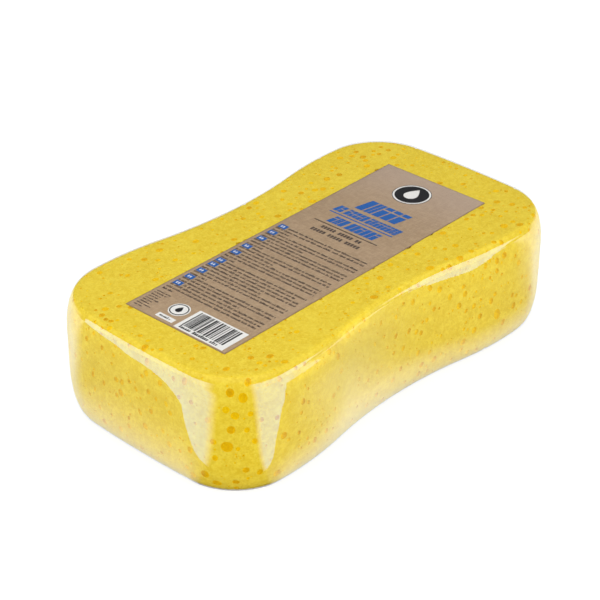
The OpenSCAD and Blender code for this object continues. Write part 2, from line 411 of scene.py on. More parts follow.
# Larger pores that the photograph shows: pixel, radius in mm, height as a share of width
seenPores = [
    (230, 393, 1.8, 1.1), (243, 398, 1.9, 1.2), (226, 410, 1.8, 1.1), (235, 416, 1.9, 1.0),
    (231, 430, 1.8, 1.1), (247, 430, 1.2, 1.1), (227, 447, 2.6, 1.0), (255, 441, 1.4, 1.1),
    (238, 449, 1.1, 1.0), (246, 470, 1.5, 1.0), (205, 474, 1.9, 1.1), (217, 483, 2.1, 0.8),
    (236, 482, 1.6, 0.7), (277, 473, 1.8, 1.1), (260, 472, 1.4, 1.1), (190, 450, 1.4, 1.3),
    (430, 288, 1.3, 1.2), (450, 297, 1.4, 1.2), (459, 306, 1.5, 1.2), (491, 301, 1.4, 1.3),
    (497, 314, 2.1, 1.5), (434, 309, 1.1, 1.2), (480, 316, 1.3, 1.2), (463, 342, 1.5, 1.3),
    (421, 333, 1.2, 1.2), (427, 320, 1.1, 1.2), (434, 359, 1.5, 1.2), (418, 353, 1.3, 1.3),
    (503, 322, 1.2, 1.5), (495, 294, 1.1, 1.2), (363, 157, 1.4, 1.2), (367, 166, 1.3, 1.3),
    (356, 152, 1.2, 1.2), (327, 179, 1.4, 1.3), (315, 190, 1.3, 1.2), (504, 226, 1.6, 1.2),
    (430, 268, 1.5, 1.3), (374, 297, 1.4, 1.2), (380, 278, 1.3, 1.2), (443, 233, 1.2, 1.3),
    (104, 383, 0.9, 1.7), (122, 382, 1.1, 1.5), (95, 389, 0.8, 1.8), (117, 395, 1.1, 1.2),
    (100, 407, 0.9, 1.5), (136, 389, 1.0, 1.3), (129, 418, 0.9, 1.3), (140, 412, 1.0, 1.8),
    (156, 399, 0.9, 1.4), (160, 383, 1.4, 1.1), (166, 404, 1.1, 1.5), (170, 413, 1.2, 1.1),
    (121, 429, 1.4, 1.5), (163, 431, 1.0, 1.4), (191, 450, 1.5, 1.3), (180, 451, 0.9, 1.2),
    (187, 467, 1.2, 1.2), (205, 473, 2.0, 1.0), (215, 458, 1.3, 1.2), (93, 374, 0.9, 1.8),
    (379, 154, 1.0, 1.2), (340, 158, 1.3, 1.2), (352, 156, 1.2, 1.1), (397, 165, 0.9, 1.2),
    (323, 189, 1.3, 1.2), (301, 193, 1.2, 1.2), (290, 204, 1.1, 1.2), (278, 216, 1.3, 1.2),
    (256, 203, 1.3, 1.2), (262, 217, 1.1, 1.2), (249, 208, 1.2, 1.2), (311, 183, 1.0, 1.2),
    (496, 191, 1.3, 1.2), (497, 202, 1.3, 1.2), (493, 210, 1.0, 1.2), (482, 215, 1.0, 1.2),
    (473, 215, 1.0, 1.2), (470, 229, 1.0, 1.2), (471, 251, 1.1, 1.2), (435, 248, 0.9, 1.2),
    (445, 249, 0.9, 1.2), (494, 242, 1.0, 1.2), (492, 233, 0.9, 1.2), (446, 259, 0.9, 1.2),
    (440, 183, 1.2, 1.2), (366, 278, 1.0, 1.2), (381, 277, 1.3, 1.2), (388, 287, 0.9, 1.2),
    (413, 302, 1.2, 1.3), (497, 261, 1.3, 1.3), (497, 271, 1.1, 1.3), (490, 278, 0.8, 1.3),
    (494, 292, 0.9, 1.4), (474, 306, 1.2, 1.3), (466, 311, 0.9, 1.4), (381, 323, 0.9, 1.4),
    (396, 317, 1.1, 1.3), (396, 336, 1.1, 1.3), (409, 331, 1.1, 1.4), (375, 344, 1.0, 1.3),
]


# Evenly random places on a mesh, each with its normal
def facePlaces(obj, count, dice):
    mesh = obj.data
    mesh.calc_loop_triangles()
    total = []
    run = 0
    for tri in mesh.loop_triangles:
        run += tri.area
        total.append(run)
    for i in range(count):
        spot = dice.random() * run
        low, high = 0, len(total) - 1
        while low < high:
            middle = (low + high) // 2
            if total[middle] < spot:
                low = middle + 1
            else:
                high = middle
        tri = mesh.loop_triangles[low]
        a, b, c = (mesh.vertices[v].co for v in tri.vertices)
        u, v = dice.random(), dice.random()
        if u + v > 1:
            u, v = 1 - u, 1 - v
        yield a + (b - a) * u + (c - a) * v, tri.normal.copy()


# Pores as place, normal, radius and stretch, none of them touching another
def porePlan(foam, dice):
    plan = []
    cells = {}
    cellSize = 6 * mm

    def free(place, radius):
        home = tuple(math.floor(c / cellSize) for c in place)
        for dx in (-1, 0, 1):
            for dy in (-1, 0, 1):
                for dz in (-1, 0, 1):
                    for other, size in cells.get((home[0] + dx, home[1] + dy, home[2] + dz), ()):
                        if (other - place).length < (size + radius) * foamValues["spacing"]:
                            return False
        cells.setdefault(home, []).append((place, radius))
        return True

    for x, y, radius, stretch in seenPores:
        start, way = pixelRay(x, y)
        hit, place, normal, face = foam.ray_cast(start, way)
        if normal.z > 0.9:
            radius *= foamValues["widerOnTop"]
        if hit and free(place, radius * max(1, stretch) * mm):
            plan.append((place, normal, radius * mm, stretch))
    for place, normal in facePlaces(foam, foamValues["poreCount"] * 2, dice):
        share = dice.random() ** foamValues["smallPower"]
        radius = (foamValues["smallest"] + (foamValues["largest"] - foamValues["smallest"]) * share) * mm
        stretch = dice.uniform(0.95, 1.35)
        if len(plan) < foamValues["poreCount"] and free(place, radius * stretch):
            plan.append((place, normal, radius, stretch))
    return plan


def makePores(foam):
    dice = random.Random(foamValues["seed"])
    bpy.ops.object.select_all(action="DESELECT")
    bpy.ops.mesh.primitive_ico_sphere_add(subdivisions=2, radius=1)
    bubble = bpy.context.object
    bpy.ops.object.select_all(action="DESELECT")
    bpy.ops.mesh.primitive_ico_sphere_add(subdivisions=1, radius=1)
    tinyBubble = bpy.context.object
    cutters = []
    for place, normal, radius, stretch in porePlan(foam, dice):
        depth = (dice.uniform(-0.46, 0.14) + foamValues["deeperOnTop"] * max(normal.z, 0)) * radius
        upward = Vector((0, 0, 1)) if abs(normal.z) < 0.8 else Vector((1, 0, 0))
        side = upward.cross(normal).normalized()
        turn = Matrix((side, normal.cross(side), normal)).transposed().to_4x4()
        spin = Matrix.Rotation(dice.uniform(-0.5, 0.5), 4, "Z")
        size = Matrix.Diagonal((radius, radius * stretch, radius * 0.95, 1))
        grain = Matrix.Rotation(dice.uniform(0, 6.28), 4, "Z") @ Matrix.Rotation(dice.uniform(0, 3), 4, "X")
        matrix = Matrix.Translation(place - normal * depth) @ turn @ spin @ size @ grain
        cutters.append(copyOf(bubble if radius > 0.62 * mm else tinyBubble, matrix))
    bpy.data.objects.remove(bubble)
    bpy.data.objects.remove(tinyBubble)
    print("pores to cut:", len(cutters))
    return joined(cutters, "poreCutter")


def foamFinish():
    f = Finish("foamOpenCell")
    coords = f.place()
    cloud = f.noise(60, 3, 0.6, coords)
    patches = f.noise(380, 3, 0.6, coords)
    grain = f.noise(1100, 3, 0.65, coords)
    cells = f.node(
        "ShaderNodeTexVoronoi", {"feature": "SMOOTH_F1"}, {"Vector": coords, "Scale": 620, "Smoothness": 0.35}
    )
    share = (grain * 0.45 + patches * 0.55).ramp(0.38, 0.64)
    tone = f.blend(share, foamValues["deep"], foamValues["pale"])
    tone = f.blend(0.52, tone, foamValues["colour"])
    # Painted shade in the small pores: the middles of the fine cells are darkened towards the deep yellow
    pitShade = (1 - cells.ramp(0.08, 0.42)) * patches.ramp(0.4, 0.6)
    tone = f.blend(pitShade * 0.6, tone, foamValues["deep"])
    tone = f.blend(cloud.ramp(0.35, 0.75) * 0.25, tone, foamValues["pale"])
    height = grain * 0.35 + cells.ramp(0.0, 0.5) * 0.4 + patches * 0.75
    bump = f.node("ShaderNodeBump", {}, {"Height": height, "Strength": 0.45, "Distance": 0.45 * mm})
    skin = f.principled(Base_Color=tone, Roughness=0.95, Normal=bump)
    skin.socket.node.inputs["Specular IOR Level"].default_value = 0.15
    return f.output(skin)


# Inside of an open bubble: painted shade and bounce light, a deeper and more saturated yellow than the skin,
# standing in for light that bounces from foam to foam
def poreFinish():
    f = Finish("foamPorePaintedShade")
    grain = f.noise(1300, 3, 0.65, f.place())
    tone = f.blend(grain.ramp(0.35, 0.65), foamValues["poreShade"], foamValues["poreWallPaintedShade"])
    bump = f.node("ShaderNodeBump", {}, {"Height": grain, "Strength": 0.4, "Distance": 0.2 * mm})
    skin = f.principled(Base_Color=tone, Roughness=1.0, Normal=bump)
    skin.socket.node.inputs["Specular IOR Level"].default_value = 0.0
    return f.output(skin)


def makeFoam():
    foam = makeBlock("foamBlock", foamLow, foamHigh, foamValues["steps"])
    cutter = makePores(foam)
    foam.data.materials.append(foamFinish())
    cutter.data.materials.append(poreFinish())
    applyModifier(
        foam, "BOOLEAN", operation="DIFFERENCE", solver="MANIFOLD", material_mode="TRANSFER", object=cutter
    )
    bpy.data.objects.remove(cutter)
    smooth(foam)
    assign(foam, "foam", "sponge")
    inPores = sum(face.material_index for face in foam.data.polygons)
    print("foam has", len(foam.data.materials), "finishes and", inPores, "faces in its pores")
    print("foam has", sum(len(face.vertices) - 2 for face in foam.data.polygons), "triangles")


makeFoam()


# Clear shrink film, one closed tight skin

filmValues = {
    "steps": {"end": 8, "corner": 24, "lobe": 12, "waist": 10, "straight": 6, "lean": 12, "capRim": 2},
    "thickness": 0.25,      # mm
    "index": 1.5,
    "roughness": 0.03,
    "boost": 0.8,           # below 1, the film mirrors more than one clean sheet does
    # Haze, partly painted sheen: a pale yellow diffuse layer on the wall at the waist, stronger higher up,
    # that brightens it
    "hazeAndSheen": 0.14,           # milky share where the film bridges the waist
    "hazeAndSheenColour": (1.0, 0.96, 0.44),
    "hazeMiddle": -40,      # mm along the block
    "hazeReach": 56,
    "dull": 0.5,            # share of the mirroring that slack film loses
    # Slack: mm along the block where it starts, is full, is still full and ends, then mm below the top
    "slackBeside": (-80, -72, -56, -46),
    "besideBelow": (9, 6.5, 3.6, 2.8),
    "slackWaist": (-48, -42, -28, -18),
    "waistBelow": (7, 4.5),
    "rimBelow": (0.8, 0.3),     # mm below the top where the flat face begins
    "farDull": 0.8,
    "ripple": 0.02,
    "most": 0.42,           # mirroring never goes above this, as real film is never flat
    "flatGlance": 0.7,      # share that the flat top loses where it is seen at a low angle
}


def filmFinish():
    f = Finish("shrinkFilmClear")
    coords = f.place()
    x, y, z = (f.node("ShaderNodeSeparateXYZ", {}, {"Vector": coords}, output=i) for i in range(3))
    ripple = f.noise(28, 2, 0.5, coords)
    bump = f.node(
        "ShaderNodeBump", {}, {"Height": ripple, "Strength": filmValues["ripple"], "Distance": 10 * mm}
    )
    mirror = f.node("ShaderNodeFresnel", {}, {"IOR": filmValues["index"], "Normal": bump})
    outside = 1 - f.node("ShaderNodeNewGeometry", output="Backfacing")
    both = (2 * mirror / (1 + mirror)) ** filmValues["boost"] * outside
    top = filmHigh.z

    def along(places):
        start, full, still, end = (place * mm for place in places)
        return x.ramp(start, full) * (1 - x.ramp(still, end)) * (1 - y.ramp(-0.05, -0.047))

    def rise(below):
        return z.ramp(top - below[0] * mm, top - below[1] * mm)

    beside = along(filmValues["slackBeside"]) * rise(filmValues["besideBelow"][:2])
    beside = beside * (1 - rise(filmValues["besideBelow"][2:]))
    belowTop = 1 - rise(filmValues["rimBelow"])
    waist = along(filmValues["slackWaist"]) * rise(filmValues["waistBelow"]) * belowTop
    behind = (x * math.sin(view["azimuth"]) - y * math.cos(view["azimuth"])) * -1
    farEdge = behind.ramp(20 * mm, 45 * mm) * z.ramp(0.03, 0.045) * belowTop
    both = both * (1 - filmValues["dull"] * (beside + waist) - filmValues["farDull"] * farEdge)
    both = both * (1 - filmValues["flatGlance"] * (1 - belowTop) * mirror.ramp(0.1, 0.25))
    both = both.math("MINIMUM", both, filmValues["most"])
    clear = f.node("ShaderNodeBsdfTransparent", {}, {"Color": (1, 1, 1, 1)})
    hazeAndSheen = f.node("ShaderNodeBsdfDiffuse", {}, {"Color": (*filmValues["hazeAndSheenColour"], 1)})
    gloss = f.node(
        "ShaderNodeBsdfGlossy",
        {},
        {"Color": (1, 0.985, 0.95, 1), "Roughness": filmValues["roughness"], "Normal": bump},
    )
    # Painted sheen with the haze: a pale yellow diffuse layer over the waist, stronger higher up the wall
    middle = 1 - (abs(x - filmValues["hazeMiddle"] * mm) / (filmValues["hazeReach"] * mm)).ramp(0, 1)
    high = 0.45 + 0.55 * z.ramp(8 * mm, 38 * mm)
    onWall = 1 - z.ramp(filmHigh.z - 4 * mm, filmHigh.z - 0.5 * mm)
    milkySheen = middle * high * onWall * outside * filmValues["hazeAndSheen"]
    body = f.node("ShaderNodeMixShader", {}, {0: milkySheen, 1: clear, 2: hazeAndSheen})
    return f.output(f.node("ShaderNodeMixShader", {}, {0: both, 1: body, 2: gloss}))


def makeFilm():
    film = makeBlock("filmSkin", filmLow, filmHigh, filmValues["steps"])
    applyModifier(film, "SOLIDIFY", thickness=filmValues["thickness"] * mm, offset=-1, use_even_offset=True)
    smooth(film)
    dress(film, filmFinish(), "film", "film_wrap")


makeFilm()
print("film made")


# Card label under the film

labelValues = {
    "length": 171,
    "width": 57,
    "thickness": 0.2,
    "middle": (-2.5, -2.5),
    "turn": 0.9,            # degrees
    "edge": 0.03,           # rounding of the cut edge
    "colour": srgb(179, 152, 119),
    "fibre": srgb(152, 125, 95),
    "paleFibre": srgb(201, 175, 142),
    "farPaintedSheen": srgb(202, 180, 164),
    "edgePaintedShade": srgb(140, 114, 84),
}
labelLow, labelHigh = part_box("label")
ink = {
    "thickness": 0.06,
    "white": srgb(243, 242, 238),
    "blue": srgb(0, 98, 182),
    "black": srgb(24, 19, 19),
    "text": srgb(88, 71, 61),
    "discFacets": 72,
    "dropFacets": 48,
}


def onLabel(z):
    x, y = labelValues["middle"]
    turn = Matrix.Rotation(math.radians(labelValues["turn"]), 4, "Z")
    return Matrix.Translation((x * mm, y * mm, z)) @ turn


def cardFinish():
    f = Finish("kraftCard")
    x, y = labelValues["middle"]
    turn = math.radians(labelValues["turn"])
    centred = f.place(rotation=(0, 0, -turn), location=(-x * mm, -y * mm, 0))
    along, across = (f.node("ShaderNodeSeparateXYZ", {}, {"Vector": centred}, output=i) for i in (0, 1))
    long = f.place(scale=(1, 0.22, 1))
    wide = f.place(scale=(0.3, 1, 1), rotation=(0, 0, 0.6))
    fibres = f.noise(1100, 3, 0.7, long) * 0.5 + f.noise(900, 3, 0.7, wide) * 0.5
    cloud = f.noise(45, 3, 0.55, centred)
    tone = f.blend(fibres.ramp(0.38, 0.66), labelValues["fibre"], labelValues["paleFibre"])
    tone = f.blend(0.62, tone, labelValues["colour"])
    tone = f.blend(cloud.ramp(0.3, 0.8) * 0.2, tone, labelValues["paleFibre"])
    # Painted sheen: the card turns paler towards its far end
    tone = f.blend(along.ramp(40 * mm, 90 * mm) * 0.55, tone, labelValues["farPaintedSheen"])
    halfLength, halfWidth = labelValues["length"] / 2 * mm, labelValues["width"] / 2 * mm
    # Painted shade: a darker thin band along all the card's edges
    paintedEdgeShade = abs(along).ramp(halfLength - 0.7 * mm, halfLength - 0.1 * mm)
    paintedEdgeShade = paintedEdgeShade.math("MAXIMUM", paintedEdgeShade, abs(across).ramp(halfWidth - 0.7 * mm, halfWidth - 0.1 * mm))
    tone = f.blend(paintedEdgeShade * 0.75, tone, labelValues["edgePaintedShade"])
    bump = f.node("ShaderNodeBump", {}, {"Height": fibres, "Strength": 0.3, "Distance": 0.05 * mm})
    return f.output(f.principled(Base_Color=tone, Roughness=0.8, Normal=bump))


def makeLabel():
    bpy.ops.object.select_all(action="DESELECT")
    bpy.ops.mesh.primitive_plane_add(size=1, location=(0, 0, 0))
    card = bpy.context.object
    edit(card)
    bpy.ops.transform.resize(value=(labelValues["length"] * mm, labelValues["width"] * mm, 1))
    bpy.ops.mesh.subdivide(number_cuts=5)
    bpy.ops.mesh.select_all(action="SELECT")
    bpy.ops.mesh.extrude_region_move(TRANSFORM_OT_translate={"value": (0, 0, labelValues["thickness"] * mm)})
    leaveEdit()
    applyModifier(card, "BEVEL", width=labelValues["edge"] * mm, segments=2, limit_method="ANGLE")
    mend(card)
    card.data.transform(onLabel(labelLow.z))
    smooth(card)
    dress(settle(card, "labelCard"), cardFinish(), "card", "label")


makeLabel()
print("label made")


# Print on the label. Places are in mm: up from the near end of the card, across from its +Y edge

lowerInk = labelHigh.z
upperInk = labelHigh.z + ink["thickness"] * mm


def printPlace(up, across, layer):
    lower = Matrix.Translation(
        (up * mm - labelValues["length"] / 2 * mm, labelValues["width"] / 2 * mm - across * mm, 0)
    )
    return onLabel(layer) @ lower


# Block of ink one mm wide and high, from which every field is scaled
def stampBlock():
    bpy.ops.object.select_all(action="DESELECT")
    bpy.ops.mesh.primitive_plane_add(size=mm, location=(0.5 * mm, -0.5 * mm, 0))
    stamp = bpy.context.object
    edit(stamp)
    bpy.ops.mesh.extrude_region_move(TRANSFORM_OT_translate={"value": (0, 0, ink["thickness"] * mm)})
    mend(settle(stamp, "stamp"))
    return stamp


plainStamp = stampBlock()


# high runs along the card, wide across it
def field(up, across, high, wide, layer):
    return copyOf(plainStamp, printPlace(up, across, layer) @ Matrix.Diagonal((high, wide, 1, 1)))


# Four patterns for the slanted blocks of the headings, each piece as start, foot, width and height
blockPatterns = (
    ((0, 0, 0.84, 1),),
    ((0, 0, 0.38, 1), (0.46, 0, 0.38, 1)),
    ((0, 0, 0.84, 0.66), (0, 0.76, 0.84, 0.24)),
    ((0, 0, 0.84, 0.46), (0, 0.56, 0.84, 0.44)),
)


def heading(up, across, high, wide, count, dice):
    pitch = wide / count
    lean = Matrix.Identity(4)
    lean[1][0] = -0.2
    made = []
    for i in range(count):
        slanted = printPlace(up, across + i * pitch, lowerInk) @ lean
        for start, foot, width, tall in dice.choice(blockPatterns):
            place = Matrix.Translation((high * foot * mm, -pitch * start * mm, 0))
            size = Matrix.Diagonal((high * tall, pitch * width, 1, 1))
            made.append(copyOf(plainStamp, slanted @ place @ size))
    return made


# Ticks of uneven height in the place of letters, with gaps between the words
def textLine(up, start, end, dice, letter=0.62, height=0.95, layer=None):
    made = []
    at = start
    while at < end:
        letters = dice.randint(2, 9)
        for i in range(letters):
            if at + letter > end:
                return made
            tall = height * dice.choice((1, 1, 1, 1.35, 0.9))
            width = letter * dice.choice((0.5, 0.62, 0.7, 0.78))
            made.append(field(up, at, tall, width, layer or lowerInk))
            at += letter
        at += letter * 0.9
    return made


def disc(radius, up, across, layer):
    bpy.ops.object.select_all(action="DESELECT")
    bpy.ops.mesh.primitive_circle_add(vertices=ink["discFacets"], radius=radius * mm, fill_type="NGON")
    made = bpy.context.object
    edit(made)
    bpy.ops.mesh.extrude_region_move(TRANSFORM_OT_translate={"value": (0, 0, ink["thickness"] * mm)})
    leaveEdit()
    mend(made)
    made.data.transform(printPlace(up, across, layer))
    return made


def ring(outer, inner, up, across, layer):
    bpy.ops.object.select_all(action="DESELECT")
    bpy.ops.mesh.primitive_circle_add(vertices=ink["discFacets"], radius=outer * mm, fill_type="NGON")
    made = bpy.context.object
    edit(made)
    bpy.ops.mesh.inset(thickness=(outer - inner) * mm)
    bpy.ops.mesh.delete(type="FACE")
    bpy.ops.mesh.select_all(action="SELECT")
    bpy.ops.mesh.extrude_region_move(TRANSFORM_OT_translate={"value": (0, 0, ink["thickness"] * mm)})
    leaveEdit()
    mend(made)
    made.data.transform(printPlace(up, across, layer))
    return made


# Round drop with its tip towards the way up of the print
def waterDrop(size, up, across, layer, thick):
    bpy.ops.object.select_all(action="DESELECT")
    bpy.ops.mesh.primitive_circle_add(vertices=ink["dropFacets"], radius=size * mm, fill_type="NGON")
    made = bpy.context.object
    edit(made, "VERT")
    bpy.ops.mesh.select_all(action="DESELECT")
    leaveEdit()
    for point in made.data.vertices:
        point.select = point.co.x > 0.999 * size * mm
    bpy.ops.object.mode_set(mode="EDIT")
    bpy.ops.transform.translate(
        value=(size * 1.05 * mm, 0, 0), use_proportional_edit=True,
        proportional_edit_falloff="SHARP", proportional_size=size * 1.5 * mm,
    )
    bpy.ops.mesh.select_all(action="SELECT")
    bpy.ops.mesh.extrude_region_move(TRANSFORM_OT_translate={"value": (0, 0, thick * mm)})
    leaveEdit()
    mend(made)
    made.data.transform(printPlace(up, across, layer))
    return made


def withHole(piece, hole):
    applyModifier(piece, "BOOLEAN", operation="DIFFERENCE", solver="EXACT", object=hole)
    bpy.data.objects.remove(hole)
    return piece


printValues = {
    "badge": (154.5, 27.5),
    "badgeRadius": 9.2,
    "textTop": 92,
    "linePitch": 2.35,
    "paragraphs": [3, 3, 4, 3, 4, 2, 3, 3, 3, 4],
    "lastEnds": [12, 27.5, 12, 24.5, 10, 50, 36.5, 12, 37.5, 8.5],
    "textLeft": 2,
    "textRight": 54,
    "tag": (3.2, 4.4),
    "mark": (11.5, 20),
    "markRadius": 4.8,
    "panel": (1, 27, 16, 27.5),     # up, across, high, wide
    "plate": (2, 15.2, 3, 9.6),
    "headings": (                   # up, height, and each word's start across, width and blocks
        (127.5, 10.5, ((16, 24, 5),)),
        (119.6, 5.4, ((9.5, 5, 2), (15.5, 12, 5), (28, 18, 8))),
        (109.6, 6.3, ((14.5, 9, 3), (24.5, 17, 6))),
    ),
    "notes": ((103.4, 16.5, 23, 14), (99.2, 14, 28, 17)),   # up, across, wide, ticks
    "address": (9, 2.6, 1.7),       # lines at the foot, up of the first and from one to the next
    "seed": 12,
}


# Place of each line, whether it opens its paragraph, and where it ends if it is the last one
def paragraphRows():
    row = 0
    for count, last in zip(printValues["paragraphs"], printValues["lastEnds"]):
        for n in range(count):
            up = printValues["textTop"] - row * printValues["linePitch"]
            yield up, n == 0, last if n == count - 1 else None
            row += 1


# Ink with a faint mottle from the card below
def inkFinish(name, colour, card=0.0, rough=0.55):
    f = Finish(name)
    coords = f.place()
    mottle = f.noise(1400, 3, 0.7, coords)
    worn = mottle.ramp(0.5, 0.85) * card
    tone = f.blend(worn, colour, labelValues["colour"])
    bump = f.node("ShaderNodeBump", {}, {"Height": mottle, "Strength": 0.15, "Distance": 0.03 * mm})
    return f.output(f.principled(Base_Color=tone, Roughness=rough, Normal=bump))


def makeWhitePrint():
    up, across = printValues["badge"]
    parts = [disc(printValues["badgeRadius"] - 0.3, up, across, lowerInk)]
    parts.append(disc(printValues["markRadius"], *printValues["mark"], lowerInk))
    for key in ("panel", "plate"):
        up, across, high, wide = printValues[key]
        parts.append(field(up, across, high, wide, lowerInk))
    high, wide = printValues["tag"]
    for up, opens, last in paragraphRows():
        if opens:
            base = up - (high - 0.85) / 2
            for k in (0.27, 0.55):
                at = printValues["textLeft"] + wide * k
                parts.append(field(base + high * 0.28, at, high * 0.42, 0.55, upperInk))
    white = joined(parts, "printWhite")
    dress(white, inkFinish("whiteInk", ink["white"], 0.1), "white_ink", "print_white")


def makeBluePrint():
    dice = random.Random(printValues["seed"] + 2)
    parts = []
    for up, high, words in printValues["headings"]:
        for across, wide, count in words:
            parts += heading(up, across, high, wide, count, dice)
    parts.append(field(117.6, 9.5, 0.7, 36.5, lowerInk))
    high, wide = printValues["tag"]
    for up, opens, last in paragraphRows():
        if opens:
            parts.append(field(up - (high - 0.85) / 2, printValues["textLeft"], high, wide, lowerInk))
    blue = joined(parts, "printBlue")
    dress(blue, inkFinish("blueInk", ink["blue"], 0.1), "blue_ink", "print_blue")


def makeTextPrint():
    dice = random.Random(printValues["seed"])
    left, right = printValues["textLeft"], printValues["textRight"]
    tagWide = printValues["tag"][1]
    parts = []
    for up, opens, last in paragraphRows():
        start = left + tagWide + 1 if opens else left
        parts += textLine(up, start, last or right, dice)
    lines, lowest, pitch = printValues["address"]
    for n in range(lines):
        parts += textLine(lowest + n * pitch, left, 6 + dice.random() * 5, dice, letter=0.5, height=0.6)
    for up, across, wide, count in printValues["notes"]:
        for i in range(count):
            if i % 6 != 5:
                pitch = wide / count
                parts.append(field(up, across + i * pitch, 2.3, pitch * 0.7, lowerInk))
    parts.append(field(107.3, 9.5, 0.6, 36.5, lowerInk))
    text = joined(parts, "printText")
    dress(text, inkFinish("textInk", ink["text"], 0.25), "dark_ink", "print_dark")


def makeBlackPrint():
    dice = random.Random(printValues["seed"] + 1)
    up, across = printValues["badge"]
    radius = printValues["badgeRadius"]
    drop = waterDrop(radius * 0.36, up - 1, across, upperInk - ink["thickness"] * mm, 3 * ink["thickness"])
    parts = [withHole(disc(radius - 1.2, up, across, upperInk), drop)]
    parts.append(ring(radius, radius - 0.28, up, across, lowerInk))
    up, across = printValues["mark"]
    radius = printValues["markRadius"]
    parts.append(ring(radius * 0.88, radius * 0.78, up, across, upperInk))
    parts.append(waterDrop(radius * 0.3, up - 0.5, across, upperInk, ink["thickness"]))
    up, across, high, wide = printValues["panel"]
    at = across + 1.8
    while at < across + wide - 2:
        bar = 0.29 * dice.choice((1, 1, 2, 3))
        parts.append(field(up + 3, at, high - 4, bar, upperInk))
        at += bar + 0.29 * dice.choice((1, 1, 2, 3))
    parts += textLine(up + 0.9, across + 2, across + wide - 2, dice, letter=1.1, height=1.3, layer=upperInk)
    up, across, high, wide = printValues["plate"]
    parts += textLine(up + 1, across + 1.5, across + wide - 1.5, dice, letter=0.7, height=0.9, layer=upperInk)
    black = joined(parts, "printBlack")
    dress(black, inkFinish("blackInk", ink["black"], 0.04), "dark_ink", "print_dark")


makeWhitePrint()
makeBluePrint()
makeTextPrint()
makeBlackPrint()
bpy.data.objects.remove(plainStamp)
print("print made")


# Floor, light and what the film mirrors

studio = {
    "floorSize": 8,             # metres
    "floorGlow": 0.84,          # white that the camera sees in the floor besides its lit colour
    "floorShade": 0.24,         # lit colour that the camera sees in the floor, which carries the shadow
    "floorColour": 0.9,
    "skyLight": 0.83,
    "keyPower": 4.5,
    "leftPower": 2.9,
    "rightPower": 3.95,
    "keyPlace": (-0.15, 0.1, 1.2),
    "keySize": (0.9, 0.7),
    "sideLamp": (60, 1.0, 0.45),    # degrees from the camera, metres away and up
    "sideSize": (0.7, 0.6),
    "box": 2.4,                 # strength of the two soft boxes beside the camera, in the film only
    "boxColour": (0.12, 0.45, 1.0),
    "highBoxColour": (0.3, 0.6, 1.0),       # above the horizon
    "restColour": (0.82, 0.9, 1.0),
    "boxStart": 109,            # mm ahead of the middle where they begin on the floor
    # Bends of that edge: mm aside where each starts and ends, and mm ahead that it adds
    "boxBends": (
        (-110, -72, 7), (-50, -15, -5), (-12, 20, 9), (50, 120, 14), (120, 200, 16),
        (200, 250, -82), (400, 1000, 56),
    ),
    "boxBendsLeft": ((130, 190, 5), (200, 330, -12)),
    "boxTop": 14,               # degrees above the horizon
    "darkLeft": (15, 36),       # degrees to each side of the camera up to which it stays dark
    "darkRight": (19, 32),
    "darkFarLeft": 10,          # degrees more, far to the left
    "sectorFrom": (92, -32),    # mm ahead of the middle and aside, where the dark sector starts
    "sectorGap": 11.7,          # half its width there in mm
    "gap": 0.2,                 # dim floor between the soft boxes and the bright back
    "gapRight": 0.13,
    "behind": 1.1,
    "foot": 0.65,               # white floor close around the block
    "footReach": 20,            # mm
    "pool": 0.26,               # pale light in the waist
    "poolMiddle": (62, 52),     # mm ahead of the middle and aside
    "poolSize": (42, 58),
    "front": 0.03,
    "overhead": 0.07,
}
facing = view["azimuth"] - math.pi / 2      # bearing from the part to the camera
degree = 180 / math.pi


# How far a place or direction lies towards the camera's side and across it
def seenFromHere(f, vector):
    x, y, z = (f.node("ShaderNodeSeparateXYZ", {}, {"Vector": vector}, output=i) for i in range(3))
    ahead = x * math.cos(facing) + y * math.sin(facing)
    aside = y * math.cos(facing) - x * math.sin(facing)
    return ahead, aside, z


# 1 beside the camera and 0 towards it, where nothing shines; off is in degrees, the right side positive
def besideCamera(off, more):
    low, high = studio["darkLeft"]
    return (0 - off - more).ramp(low, high) + off.ramp(*studio["darkRight"])


# Light that the film mirrors: colour and strength
def mirrored(f, box, rest, boxColour):
    colour = f.blend(box, studio["restColour"], boxColour)
    return {"Color": colour, "Strength": box * studio["box"] + (1 - box) * rest}


